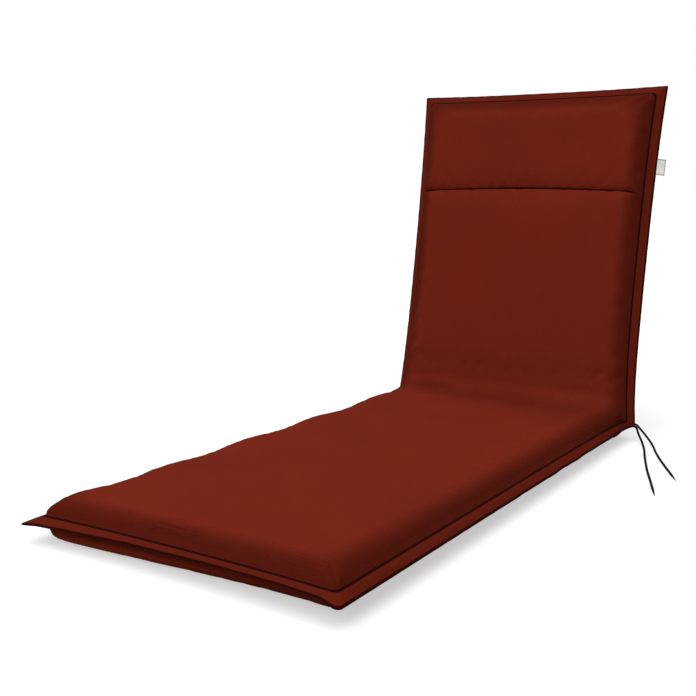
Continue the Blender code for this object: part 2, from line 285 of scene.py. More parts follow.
def clothMaterial():
    material, tree, shader = newMaterial("terracottaCloth")
    weaveUv = uvPlace(tree, "weave")
    place = tree.nodes.new("ShaderNodeSeparateXYZ")
    tree.links.new(uvPlace(tree, "place"), place.inputs[0])
    ring, along = place.outputs["X"], place.outputs["Y"]
    split = tree.nodes.new("ShaderNodeSeparateXYZ")
    tree.links.new(weaveUv, split.inputs[0])
    across = split.outputs["X"]  # over the cloth, from the middle of the pad

    weave = placeGroup(tree, weaveGroup, weaveUv, Thread_Pitch=cloth["threadPitch"])
    slubAcross = placeGroup(tree, driftGroup, weaveUv, Scale=(35, 1500, 1), Amount=cloth["slub"])
    slubAlong = placeGroup(tree, driftGroup, weaveUv, Scale=(1500, 35, 1), Amount=cloth["slub"])
    slow = placeGroup(tree, driftGroup, weaveUv, Scale=(5, 5, 1), Amount=cloth["drift"])
    warpTone = maths(tree, "MULTIPLY_ADD", weave.outputs["Warp"], 0.10, 0.95)

    # fine creases that run across the foot of the upper filling: a bump, with painted shade in them
    creases = placeGroup(tree, driftGroup, weaveUv, Scale=(20, 300, 1), Amount=0.25, Detail=2)
    onFoot = maths(tree, "MULTIPLY", fade(tree, ring, 1.08, 1.2), fade(tree, ring, 1.9, 1.5))
    onFoot = maths(tree, "MULTIPLY", onFoot, fade(tree, along, 0.080, 0.060))
    onFoot = maths(tree, "MULTIPLY", onFoot, footCreaseShare(tree, across))
    creased = maths(tree, "MULTIPLY", fade(tree, creases.outputs[0], 0.90, 1.25), onFoot)
    footCreaseHeight = maths(tree, "MULTIPLY", creased, cloth["creaseRelief"])
    paintedFootCreaseShade = shadeBy(tree, maths(tree, "SUBTRACT", 1, creased), cloth["creaseShade"])

    # painted shade along the folded outer edge and in the crease beside the stitched seam, darker than
    # the open cloth
    paintedEdgeShade = shadeBy(tree, fade(tree, ring, 0.09, 0.19), cloth["edgeShade"])
    besideSeam = maths(tree, "MAXIMUM", fade(tree, ring, 0.90, 0.83), fade(tree, ring, 1.001, 1.006))
    paintedSeamShade = shadeBy(tree, besideSeam, cloth["seamShade"])
    # painted shade over the hem, deeper on the seat's right, standing in for the filling's shadow
    paintedHemShade = shadeBy(tree, fade(tree, ring, 0.99, 1.0), cloth["hemShade"])
    onSeat = fade(tree, along, seatRun + bendRun, seatRun)
    onSide = fade(tree, maths(tree, "ABSOLUTE", across), 0.300, 0.306)
    sideHem = maths(tree, "SUBTRACT", 1, maths(tree, "MULTIPLY", onSeat, onSide))
    paintedHemShade = maths(tree, "MULTIPLY", paintedHemShade, shadeBy(tree, sideHem, cloth["sideHemShade"]))
    # painted shade on the steep sides above the seam, and on the cloth that rolls into the channel
    side = maths(tree, "MAXIMUM", fade(tree, ring, 1.18, 2.0), fade(tree, ring, 1.0, 0.99))
    paintedSideShade = shadeBy(tree, side, cloth["sideShade"])
    # painted shade on the channel's stitched line and on the cloth just above it
    past = maths(tree, "SUBTRACT", along, wholeRun - channel["fromTop"])
    stitched = fade(tree, maths(tree, "ABSOLUTE", past), 0.0010, 0.0024)
    rolled = maths(tree, "MAXIMUM", fade(tree, past, 0.0, 0.010), fade(tree, past, 0.001, -0.001))
    paintedChannelShade = maths(tree, "MULTIPLY", shadeBy(tree, stitched, cloth["seamShade"]),
                        shadeBy(tree, rolled, cloth["channelShade"]))
    paintedChannelShade = shadeBy(tree, paintedChannelShade, fade(tree, ring, 1.08, 1.5))
    # painted shade of the back on the fold and the seat before it, reaching farther out on the right
    seatwards = maths(tree, "SUBTRACT", seatRun + 0.35 * bendRun, along)
    reach = maths(tree, "MULTIPLY_ADD", fade(tree, across, -0.28, 0.22), 0.20, 0.05)
    outOfFold = maths(tree, "MAXIMUM", fade(tree, maths(tree, "DIVIDE", seatwards, reach), 0, 1),
                      fade(tree, seatwards, 0.0005, -0.0050))
    paintedFoldShade = shadeBy(tree, outOfFold, cloth["foldShade"])
    colour = tint(tree, cloth["colour"], warpTone, slubAcross.outputs[0], slubAlong.outputs[0],
                  slow.outputs[0], paintedEdgeShade, paintedSeamShade, paintedHemShade, paintedSideShade, paintedChannelShade, paintedFoldShade,
                  paintedFoldCreaseShade(tree, across, along), paintedFootCreaseShade)
    tree.links.new(colour, shader.inputs["Base Color"])
    threadHeight = maths(tree, "MULTIPLY", weave.outputs["Height"], cloth["threadRelief"])
    bump(tree, shader, maths(tree, "ADD", threadHeight, footCreaseHeight))

    rough = maths(tree, "MULTIPLY", slow.outputs[0], 0.86)
    tree.links.new(rough, shader.inputs["Roughness"])
    shader.inputs["Specular IOR Level"].default_value = 0.01
    shader.inputs["Sheen Weight"].default_value = 0.02
    shader.inputs["Sheen Roughness"].default_value = 0.5
    shader.inputs["Sheen Tint"].default_value = (0.80, 0.20, 0.12, 1)
    return material


def threadMaterial():
    material, tree, shader = newMaterial("seamThread")
    uv = uvPlace(tree, "weave")
    twist = placeGroup(tree, driftGroup, uv, Scale=(900, 2600, 1), Amount=0.20)
    tree.links.new(tint(tree, (0.016, 0.0050, 0.0038), twist.outputs[0]), shader.inputs["Base Color"])
    bump(tree, shader, maths(tree, "MULTIPLY", twist.outputs[0], 0.00006))
    shader.inputs["Roughness"].default_value = 0.7
    shader.inputs["Specular IOR Level"].default_value = 0.1
    return material


def tagMaterial():
    material, tree, shader = newMaterial("tagRibbon")
    uv = uvPlace(tree, "weave")
    weave = placeGroup(tree, weaveGroup, uv, Thread_Pitch=0.00030)
    slow = placeGroup(tree, driftGroup, uv, Scale=(160, 160, 1), Amount=0.03)
    ribs = placeGroup(tree, driftGroup, uv, Scale=(60, 4200, 1), Amount=0.04)
    place = tree.nodes.new("ShaderNodeSeparateXYZ")
    tree.links.new(uvPlace(tree, "place"), place.inputs[0])
    # painted shade along the ribbon's top and bottom edges and towards its fold
    paintedTagEdgeShade = shadeBy(tree, fade(tree, place.outputs["Y"], 0.03, 0.10), 0.55)
    folded = shadeBy(tree, fade(tree, place.outputs["X"], 0.96, 0.84), 0.45)
    colour = tint(tree, (0.76, 0.76, 0.75), slow.outputs[0], ribs.outputs[0], paintedTagEdgeShade, folded)
    tree.links.new(colour, shader.inputs["Base Color"])
    bump(tree, shader, maths(tree, "MULTIPLY", weave.outputs["Height"], 0.00003))
    shader.inputs["Roughness"].default_value = 0.42
    shader.inputs["Sheen Weight"].default_value = 0.2
    return material


def tieMaterial():
    material, tree, shader = newMaterial("tieCord")
    uv = uvPlace(tree, "weave")
    place = tree.nodes.new("ShaderNodeSeparateXYZ")
    tree.links.new(uvPlace(tree, "place"), place.inputs[0])
    plait = placeGroup(tree, weaveGroup, uv, Thread_Pitch=0.0009)
    fibre = placeGroup(tree, driftGroup, uv, Scale=(1400, 320, 1), Amount=0.22)
    tip = fade(tree, place.outputs["Y"], 0.012, 0.001)
    tone = maths(tree, "MULTIPLY_ADD", tip, 14.0, 1.0)
    colour = tint(tree, (0.0020, 0.0016, 0.0015), fibre.outputs[0], tone)
    tree.links.new(colour, shader.inputs["Base Color"])
    bump(tree, shader, maths(tree, "MULTIPLY", plait.outputs["Height"], 0.00022))
    shader.inputs["Roughness"].default_value = 0.85
    shader.inputs["Specular IOR Level"].default_value = 0.1
    return material


materials = {
    "cloth": clothMaterial(),
    "thread": threadMaterial(),
    "tag": tagMaterial(),
    "tie": tieMaterial(),
}
print("materials made")


def makePiece(name, points, faces, material, weaveUv=None, placeUv=None):
    mesh = bpy.data.meshes.new(name)
    mesh.from_pydata([tuple(point) for point in points], [], faces)
    corners = np.empty(len(mesh.loops), np.int32)
    mesh.loops.foreach_get("vertex_index", corners)
    for label, values in (("weave", weaveUv), ("place", placeUv)):
        if values is not None:
            layer = mesh.uv_layers.new(name=label)
            layer.uv.foreach_set("vector", np.asarray(values, np.float32)[corners].ravel())
    mesh.shade_smooth()
    mesh.materials.append(material)
    piece = bpy.data.objects.new(name, mesh)
    bpy.context.collection.objects.link(piece)
    return piece


# the two ties, from the fold corner down to the ground and along it
tie = {
    "diameter": 0.0035,
    "ringStep": 0.0012,
    "sides": 12,
    "fullness": 1.38,   # the plait stands proud of its nominal size
    "tip": 0.045,       # length over which the end thins out
    "tipShare": 0.16,
    "plaitTurn": 0.011,
    "plaitRelief": 0.05,
}
longRoute = (
    (0.3004, 1.1668, 0.0309),
    (0.3034, 1.1667, 0.0307),
    (0.3062, 1.1657, 0.0286),
    (0.3088, 1.1632, 0.0248),
    (0.3110, 1.1607, 0.0208),
    (0.3136, 1.1580, 0.0170),
    (0.3194, 1.1520, 0.0108),
    (0.3262, 1.1420, 0.0058),
    (0.3340, 1.1250, 0.0031),
    (0.3445, 1.0988, 0.0021),
    (0.3563, 1.0640, 0.0020),
    (0.3683, 1.0280, 0.0020),
    (0.3833, 0.9856, 0.0020),
    (0.3990, 0.9424, 0.0020),
    (0.4127, 0.9075, 0.0020),
    (0.4260, 0.8746, 0.0020),
    (0.4434, 0.8301, 0.0020),
    (0.4619, 0.7832, 0.0020),
)
shortRoute = (
    (0.3004, 1.1714, 0.0350),
    (0.3036, 1.1713, 0.0346),
    (0.3072, 1.1706, 0.0324),
    (0.3112, 1.1696, 0.0290),
    (0.3158, 1.1685, 0.0250),
    (0.3205, 1.1674, 0.0208),
    (0.3250, 1.1660, 0.0168),
    (0.3300, 1.1630, 0.0128),
    (0.3400, 1.1540, 0.0068),
    (0.3548, 1.1290, 0.0026),
    (0.3645, 1.1060, 0.0020),
    (0.3739, 1.0841, 0.0020),
    (0.3947, 1.0398, 0.0020),
    (0.4141, 1.0014, 0.0020),
    (0.4300, 0.9704, 0.0020),
    (0.4446, 0.9431, 0.0020),
    (0.4560, 0.9213, 0.0020),
    (0.4665, 0.9012, 0.0020),
)


def smoothRoute(points, step):
    # even points along a smooth curve through the route
    guide = [Vector((x, y + padCentre, z)) for x, y, z in points]
    guide = [2 * guide[0] - guide[1]] + guide + [2 * guide[-1] - guide[-2]]
    fine = []
    for index in range(1, len(guide) - 2):
        before, start, end, after = guide[index - 1:index + 3]
        for part in range(12):
            share = part / 12
            fine.append(0.5 * (2 * start + (end - before) * share
                               + (2 * before - 5 * start + 4 * end - after) * share ** 2
                               + (3 * start - before - 3 * end + after) * share ** 3))
    fine.append(guide[-2])
    fine = np.array([tuple(point) for point in fine])
    reach = np.concatenate([[0], np.cumsum(np.linalg.norm(np.diff(fine, axis=0), axis=1))])
    wanted = np.linspace(0, reach[-1], round(reach[-1] / step) + 1)
    return np.stack([np.interp(wanted, reach, fine[:, axis]) for axis in range(3)], 1), reach[-1]


def makeTie(name, node, points):
    route, whole = smoothRoute(points, tie["ringStep"])
    sides = tie["sides"]
    heading = [Vector(step).normalized() for step in np.gradient(route, axis=0)]
    upright = Vector((0, 0, 1))
    verts, weaveUv, placeUv = [], [], []
    for index, spot in enumerate(route):
        forward = heading[index]
        upright = (upright - forward * upright.dot(forward)).normalized()
        sideways = forward.cross(upright)
        reached = whole * index / (len(route) - 1)
        left = whole - reached
        thin = 1 - (1 - tie["tipShare"]) * max(0.0, 1 - left / tie["tip"]) ** 1.5
        for side in range(sides):
            angle = 2 * pi * side / sides
            phase = 2 * pi * reached / tie["plaitTurn"]
            plait = cos(4 * angle + phase) * cos(4 * angle - phase)
            radius = tie["diameter"] / 2 * tie["fullness"] * thin * (1 + tie["plaitRelief"] * plait)
            outward = upright * cos(angle) + sideways * sin(angle)
            verts.append(Vector(spot) + outward * radius)
            weaveUv.append((angle * tie["diameter"] / 2 + reached, reached - angle * tie["diameter"] / 2))
            placeUv.append((side / sides, left))
    faces = []
    for index in range(len(route) - 1):
        for side in range(sides):
            near, far = index * sides, (index + 1) * sides
            following = (side + 1) % sides
            faces.append((near + side, far + side, far + following, near + following))
    faces.append(tuple(range(sides)))
    faces.append(tuple(reversed(range(len(verts) - sides, len(verts)))))
    piece = makePiece(name, verts, faces, materials["tie"], weaveUv, placeUv)
    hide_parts(node)
    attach(piece, "root")
    print(name, "made,", round(float(whole), 3), "m")


makeTie("longTie", "tie_long", longRoute)
makeTie("shortTie", "tie_short", shortRoute)


def smoothStep(value):
    value = np.clip(value, 0, 1)
    return value * value * (3 - 2 * value)


def between(first, last, step):
    count = max(1, round(abs(last - first) / step))
    return [first + (last - first) * number / count for number in range(1, count)]


def ringInsets(hemWidth):
    return [hemWidth * share for share in hemShares] + [hemWidth + row for row in insideRows]


def acrossLines():
    edge = ringInsets(hem["side"])
    lines = edge + between(edge[-1], pad["width"] - edge[-1], pad["clothStep"])
    lines += [pad["width"] - value for value in reversed(edge)]
    return np.array(lines)


def lengthLines():
    # distances from the foot hem along the seam, finer at the fold and the channel
    front = ringInsets(hem["front"])
    top = [wholeRun - value for value in reversed(ringInsets(hem["top"]))]
    fold = [seatRun + bendRun * step / 13 for step in range(14)]
    middle = wholeRun - channel["fromTop"]
    stitched = sorted({middle + sign * row for row in channelRows for sign in (-1, 1)})
    step = pad["clothStep"]
    lines = front + between(front[-1], fold[0], step) + fold + between(fold[-1], stitched[0], step)
    lines += stitched + between(stitched[-1], top[0], step) + top
    if len(lines) % 2 == 0:  # every second line is a line of the coarse cloth
        spot = len(front) + 1
        lines.insert(spot, (lines[spot - 1] + lines[spot]) / 2)
    return np.array(lines)


def runPoint(distance, offset, radius):
    # y and z on a line that runs offset above the seam, with its bend rounded to radius
    shorter = halfTurn * (offset + radius)
    bendStart = pad["seatLength"] - shorter
    height = pad["seamHeight"] + offset
    seatShare = distance / seatRun
    bendShare = np.clip((distance - seatRun) / bendRun, 0, 1)
    backShare = np.clip((distance - seatRun - bendRun) / backRun, 0, None)
    turn = pad["backAngle"] * bendShare
    climb = backShare * (pad["backLength"] - shorter)
    y = bendStart + radius * np.sin(turn) + climb * cos(pad["backAngle"])
    z = height + radius * (1 - np.cos(turn)) + climb * sin(pad["backAngle"])
    onSeat = distance <= seatRun
    return np.where(onSeat, seatShare * bendStart, y), np.where(onSeat, height, z)


def sideBow(distance, across):
    seat = distance / seatRun
    back = np.clip((distance - seatRun - bendRun) / backRun, 0, 1)
    deep, power = hem["seatBow"]
    bow = np.where(distance <= seatRun, deep * seat * (1 - np.clip(seat, 0, 1) ** power), 0)
    for (deep, foldPower, topPower), here in (
        (hem["backBowLeft"], across < 0), (hem["backBowRight"], across >= 0),
    ):
        drawn = deep * (1 - (1 - back) ** foldPower) * (1 - back ** topPower)
        bow = np.where((distance > seatRun + bendRun) & here, drawn, bow)
    return bow


acrossAt = acrossLines()
alongAt = lengthLines()
rowCount, columnCount = len(alongAt), len(acrossAt)
columnIn = np.minimum(np.arange(columnCount), columnCount - 1 - np.arange(columnCount))
rowIn = np.minimum(np.arange(rowCount), rowCount - 1 - np.arange(rowCount))
ringOf = np.minimum(rowIn[:, None], columnIn[None, :])
fromLeft = (np.arange(columnCount) < columnCount / 2)[None, :]
fromFoot = (np.arange(rowCount) < rowCount / 2)[:, None]
# distance inside the seam of each ring, and a running number: 0 at the edge, 1 at the seam, 2 on top
insideOfRing = np.array([0.0] * (seamRing + 1) + list(insideRows))
insideOf = insideOfRing[np.minimum(ringOf, lastRing)]
hemShareOf = np.array(list(hemShares) + [1.0])[np.minimum(ringOf, seamRing + 1)]
ringValue = np.where(ringOf < seamRing, hemShareOf, 1 + insideOf / pad["upperShoulder"][0])


def padLayout(side):
    # where each point lies on the pad: across (-1 to 1), distance from the foot, and from the edges
    inset = np.minimum(acrossAt, pad["width"] - acrossAt)[None, :] + 0 * alongAt[:, None]
    run = np.where(fromFoot[:, 0], alongAt, wholeRun - alongAt)[:, None] + 0 * acrossAt[None, :]
    cornerInset = acrossAt[ringOf]
    cornerRun = np.where(fromFoot, alongAt[ringOf], wholeRun - alongAt[rowCount - 1 - ringOf])
    full = pad["upperCorner"] if side > 0 else pad["lowerCorner"]
    inside = insideOf / pad["upperShoulder"][0]
    rising = pad["seamCorner"] + (full - pad["seamCorner"]) * np.clip(inside, 0, 1)
    corner = np.where(fromFoot & ~fromLeft, hem["nearCorner"], hem["corner"])
    hemCorner = corner + (pad["seamCorner"] - corner) * hemShareOf
    radius = np.where(ringOf <= seamRing, hemCorner, rising)
    release = (insideRows[-1] - insideOf) / (insideRows[-1] - pad["upperShoulder"][0])
    radius = radius * np.clip(release, 0, 1)
    radius = np.where(ringOf > lastRing, 0, radius)
    pastA, pastB = inset - cornerInset, run - cornerRun
    past = np.maximum(pastA, pastB)
    angle = pi / 4 * (1 - past / np.maximum(radius, 1e-9))
    near, far = radius * (1 - np.cos(angle)), radius * (1 - np.sin(angle))
    turned = past < radius
    longA = pastA >= pastB
    inset = np.where(turned, cornerInset + np.where(longA, far, near), inset)
    run = np.where(turned, cornerRun + np.where(longA, near, far), run)

    across = (1 - inset / (pad["width"] / 2)) * np.where(fromLeft, -1, 1)
    bow = np.where(fromFoot, hem["frontBow"], hem["topBow"]) * (1 - np.abs(across) ** hem["bowPower"])
    if side < 0:
        slant = hem["lowerSlant"] * across * (1 - across ** 4) * smoothStep(insideOf / 0.010)
        bow = bow + np.where(fromFoot, slant, 0)
    run = run + bow * np.clip(1 - run / hem["bowFade"], 0, None)
    distance = np.where(fromFoot, run, wholeRun - run)
    fromChannel = np.abs(wholeRun - alongAt - channel["fromTop"])[:, None]
    level, fading = channel["dipReach"]
    distance = distance - channel["dip"] * across ** 2 * (1 - smoothStep((fromChannel - level) / fading))
    return across, distance, inset, run


def padFace(side):
    across, distance, inset, run = padLayout(side)
    x = across * (pad["width"] / 2 - sideBow(distance, across))
    deep, reach = hem["foldTuck"]
    tucked = hemShareOf * (1 - smoothStep(insideOf / hem["tuckFade"][0 if side > 0 else 1]))
    x = x + np.sign(across) * deep * tucked * np.exp(-((distance - seatRun) / reach) ** 2)
    half = side * hem["thickness"] / 2

    # hem: thin at its edge and at the seam, a little full between
    foot = np.zeros_like(across)
    for (left, low), (right, high) in zip(hem["footLine"], hem["footLine"][1:]):
        eased = low + (high - low) * smoothStep((across - left) / (right - left))
        foot = np.where((across >= left) & (across <= right), eased, foot)
    droop = foot + (hem["droop"] - foot) * smoothStep(distance / (2 * hem["front"]))
    fullness = 0.62 + 0.38 * np.sin(pi * np.clip(hemShareOf, 0, 1)) ** 0.6
    hemOffset = droop * (1 - hemShareOf) + half * fullness
    hemY, hemZ = runPoint(distance, hemOffset, pad["hemBend"] - half)

    # filling
    width, power = pad["upperShoulder"] if side > 0 else pad["lowerShoulder"]
    share = (1 - (1 - np.clip(insideOf / width, 0, 1)) ** power) ** (1 / power)
    if side > 0:
        toCorner = (inset ** 2 + run ** 2) / pad["cornerReach"] ** 2
        share = share * (1 - pad["cornerSlack"] * np.exp(-toCorner))
    groove = np.exp(-np.abs(wholeRun - distance - channel["fromTop"]
                            - channel["dip"] * across ** 2) / channel["halfWidth"])
    sideInside = pad["width"] / 2 * (1 - np.abs(across)) - hem["side"]
    share = share * (1 - channel["depth"] * groove * smoothStep(sideInside / channel["sideFade"]))
    if side > 0:
        middle = smoothStep(inset * 2 / pad["width"]) * smoothStep(run * 2 / pad["width"])
        share = share * (1 + pad["crownDome"] * middle)
    seamY, seamZ = runPoint(distance, half * 0.62 + 0 * distance, pad["hemBend"] - half)
    if side > 0:
        fullY, fullZ = runPoint(distance, pad["crownHeight"] + 0 * distance, pad["crownBend"])
    else:
        fullY, fullZ = runPoint(distance, -pad["seamHeight"] + 0 * distance, pad["heelBend"])
    onHem = ringOf <= seamRing
    y = np.where(onHem, hemY, seamY + share * (fullY - seamY))
    z = np.where(onHem, hemZ, seamZ + share * (fullZ - seamZ))
    return np.stack([x, y, z], 2), across, distance


def faceNormals(points, side):
    normal = np.cross(np.gradient(points, axis=1), np.gradient(points, axis=0))
    return side * normal / np.maximum(np.linalg.norm(normal, axis=2, keepdims=True), 1e-12)


def cloud(points, scale, seed):
    # smooth noise from -1 to 1 at each point
    flat = points.reshape(-1, points.shape[-1]) * scale
    values = [noise.noise((a + seed, b - seed, seed * 1.7)) for a, b in flat[:, :2]]
    return np.array(values).reshape(points.shape[:-1])


# the filling pushes the cloth out between its seams, by cloth simulation
filling = {
    "frames": 20,
    "pressure": 3.0,
    "spare": 0.010,       # how much larger the cloth is cut than the space it fills
    "mostMove": 0.008,
    "slowShare": 0.15,    # how much of the slow swelling is kept beside the wrinkles
    "slowPasses": 30,
    "sewnReach": 0.015,   # beside the seam the cloth keeps the move that the simulation gave it
    "underShare": 0.2,    # the lower face lies under its own weight, with hardly a wrinkle
}
# every second line of the grid inside the seam
insideSeam = np.s_[seamRing:rowCount - seamRing:2, seamRing:columnCount - seamRing:2]


def rimOf(rows, columns):
    # the grid's outer points in turn, once round
    rim = list(range(columns - 1))
    rim += [row * columns + columns - 1 for row in range(rows - 1)]
    rim += [(rows - 1) * columns + column for column in range(columns - 1, 0, -1)]
    rim += [row * columns for row in range(rows - 1, 0, -1)]
    return rim


def gridQuads(rows, columns):
    # the quads of an upper and a lower grid, the lower one turned over
    quads = []
    for base, flip in ((0, False), (rows * columns, True)):
        for row in range(rows - 1):
            for column in range(columns - 1):
                corner = base + row * columns + column
                quad = (corner, corner + 1, corner + columns + 1, corner + columns)
                quads.append(quad[::-1] if flip else quad)
    return quads


def simulate(faces, pins):
    coarse = [face[insideSeam] for face in faces]
    rows, columns = coarse[0].shape[:2]
    verts = np.concatenate([face.reshape(-1, 3) for face in coarse])
    quads = gridQuads(rows, columns)
    rim = rimOf(rows, columns)
    for here, there in zip(rim, rim[1:] + rim[:1]):
        quads.append((there, here, here + rows * columns, there + rows * columns))
    mesh = bpy.data.meshes.new("fillingTrial")
    mesh.from_pydata([tuple(point) for point in verts], [], quads)
    trial = bpy.data.objects.new("fillingTrial", mesh)
    bpy.context.collection.objects.link(trial)
    sewn = trial.vertex_groups.new(name="sewn")
    weights = np.concatenate([pin[insideSeam].ravel() for pin in pins])
    for index, weight in enumerate(weights):
        if weight > 0.001:
            sewn.add([index], float(weight), "REPLACE")
    modifier = trial.modifiers.new("filling", "CLOTH")
    settings = modifier.settings
    settings.quality = 6
    settings.mass = 0.3
    settings.tension_stiffness = 15
    settings.compression_stiffness = 15
    settings.shear_stiffness = 5
    settings.bending_stiffness = 0.4
    settings.use_pressure = True
    settings.uniform_pressure_force = filling["pressure"]
    settings.shrink_min = -filling["spare"]
    settings.vertex_group_mass = "sewn"
    settings.effector_weights.gravity = 0
    modifier.collision_settings.use_collision = False
    for number in range(1, filling["frames"] + 1):
        bpy.context.scene.frame_set(number)
    shaped = trial.evaluated_get(bpy.context.evaluated_depsgraph_get()).to_mesh()
    moved = np.empty(len(verts) * 3, np.float32)
    shaped.vertices.foreach_get("co", moved)
    moved = moved.reshape(-1, 3).astype(float) - verts
    bpy.data.objects.remove(trial)
    bpy.context.scene.frame_set(1)
    far = np.linalg.norm(moved, axis=1, keepdims=True)
    print("cloth moved, typical and most:", np.round([np.median(far), far.max()], 4))
    moved *= filling["mostMove"] / (filling["mostMove"] + far)
    return [part.reshape(rows, columns, 3) for part in (moved[:rows * columns], moved[rows * columns:])]


def halfway(values, axis):
    # puts a point between each two along an axis, on a smooth curve through them
    values = np.moveaxis(values, axis, 0)
    padded = np.concatenate([values[:1], values, values[-1:]])
    middles = (9 * (padded[1:-2] + padded[2:-1]) - padded[:-3] - padded[3:]) / 16
    fine = np.empty((len(values) * 2 - 1,) + values.shape[1:])
    fine[::2], fine[1::2] = values, middles
    return np.moveaxis(fine, 0, axis)


def softened(values, passes):
    for _ in range(passes):
        for axis in (0, 1):
            values = np.moveaxis(values, axis, 0)
            padded = np.concatenate([values[:1], values, values[-1:]])
            values = np.moveaxis((padded[:-2] + 2 * padded[1:-1] + padded[2:]) / 4, 0, axis)
    return values


faces, layout = {}, {}
for side in (1, -1):
    faces[side], across, distance = padFace(side)
    layout[side] = np.stack([across * pad["width"] / 2, distance], 2)
print("pad drawn:", rowCount, "by", columnCount)

sewn = (ringOf <= seamRing + 1).astype(float)
fromChannel = layout[1][..., 1] - (wholeRun - channel["fromTop"]
                                   - channel["dip"] * (2 * layout[1][..., 0] / pad["width"]) ** 2)
sewn = np.maximum(sewn, np.exp(-(fromChannel / 0.004) ** 2))
fromFold = layout[1][..., 1] - seatRun - bendRun / 2
sewn = np.maximum(sewn, 0.9 * np.exp(-(fromFold / 0.05) ** 2))
resting = (faces[-1][..., 2] < 0.0015).astype(float)
moves = simulate([faces[1], faces[-1]], [sewn, np.maximum(sewn, resting)])
loose = ((1 - sewn) * smoothStep(insideOf / filling["sewnReach"]))[insideSeam][..., None]
for side, move in zip((1, -1), moves):
    move = move - (1 - filling["slowShare"]) * loose * softened(move, filling["slowPasses"])
    move *= 1 if side > 0 else filling["underShare"]
    for axis in (0, 1):
        move = halfway(move, axis)
    faces[side][seamRing:rowCount - seamRing, seamRing:columnCount - seamRing] += move
print("filling settled")


# what the sewing adds: puckers beside the seam and a hem that waves a little
gathers = {
    "seam": 0.0007,          # puckers beside the upper seam
    "seamReach": 0.009,
    "edge": 0.0002,          # waves of the hem's outer edge
    # tucks of the right hem towards the fold: distance from the foot, height of the step
    "tucks": ((0.560, 0.0009), (0.737, 0.0020), (0.863, 0.0020), (1.055, 0.0022)),
    "tuckReach": 0.020,
    "shoulder": 0.0006,      # slow unevenness of the filling's shoulders
    "leftShoulder": 0.0022,  # more of it on the seat's left, which shows on the outline
    "leftWave": 0.235,
}


def ruffle(along, seed):
    waves = ((0.0105, 0.55), (0.0170, 0.80), (0.0290, 0.60), (0.0530, 0.45))
    total = 0
    for number, (length, size) in enumerate(waves):
        total = total + size * np.sin(2 * pi * along / length + seed * (number + 1.3) * 2.1)
    return total / 1.2


def upperLift():
    # how far each point of the upper face stands off the plain one
    x, run = layout[1][..., 0], layout[1][..., 1]
    onSide = columnIn[None, :] <= rowIn[:, None]
    along = np.where(onSide, run, x)
    seed = np.where(onSide, np.where(fromLeft, 1.0, 2.0), np.where(fromFoot, 3.0, 4.0))
    lively = 0.35 + 0.65 * smoothStep(0.5 + cloud(np.stack([along, seed], 2), 9.0, 3.0))
    inner = insideOf / gathers["seamReach"]
    beside = np.where(ringOf > seamRing, inner * np.exp(1 - inner), 0)
    lift = gathers["seam"] * beside * ruffle(along, seed) * lively

    onShoulder = np.clip(insideOf / 0.020, 0, 1) * np.where(ringOf <= lastRing, 1, 0.35)
    lift = lift + gathers["shoulder"] * onShoulder * cloud(layout[1], 11.0, 5.0)
    fromSeam = pad["width"] / 2 + x - hem["side"]
    reach = smoothStep(fromSeam / 0.012) * (1 - smoothStep((fromSeam - 0.050) / 0.040))
    onSeat = smoothStep((run - 0.04) / 0.06) * smoothStep((seatRun - run) / 0.10)
    slowWave = np.sin(2 * pi * run / gathers["leftWave"] + 0.18)
    lift = lift + gathers["leftShoulder"] * slowWave * reach * onSeat
    for creaseX, creaseRun, halfLength, halfWidth, _, depth in foldCreases:
        apart = ((x - creaseX) / halfLength) ** 2 + ((run - creaseRun) / halfWidth) ** 2
        lift = lift - depth * np.exp(-apart)
    return lift


def edgeLift():
    # waves of the hem's outer edge, which both faces of the hem share
    x, run = layout[1][..., 0], layout[1][..., 1]
    onSide = columnIn[None, :] <= rowIn[:, None]
    along = np.where(onSide, run, x)
    corner = smoothStep((np.maximum(rowIn[:, None], columnIn[None, :]) - seamRing) / 10)
    wave = np.sin(2 * pi * along / 0.047) + 0.7 * np.sin(2 * pi * along / 0.031 + 1.0)
    lift = gathers["edge"] * corner * wave
    for at, height in gathers["tucks"]:
        apart = (run - at) / gathers["tuckReach"]
        lift = lift + height * apart * np.exp(0.5 - 0.5 * apart ** 2) * (onSide & (x > 0))
    return lift * (1 - hemShareOf) * (ringOf < seamRing)


normal = faceNormals(faces[1], 1)
edgeMove = normal * edgeLift()[..., None]
faces[1] = faces[1] + normal * upperLift()[..., None]
for side in (1, -1):
    faces[side] = faces[side] + edgeMove
    faces[side][..., 2] = np.maximum(faces[side][..., 2], 0.0)
    faces[side][..., 1] += padCentre
print("gathers shaped")


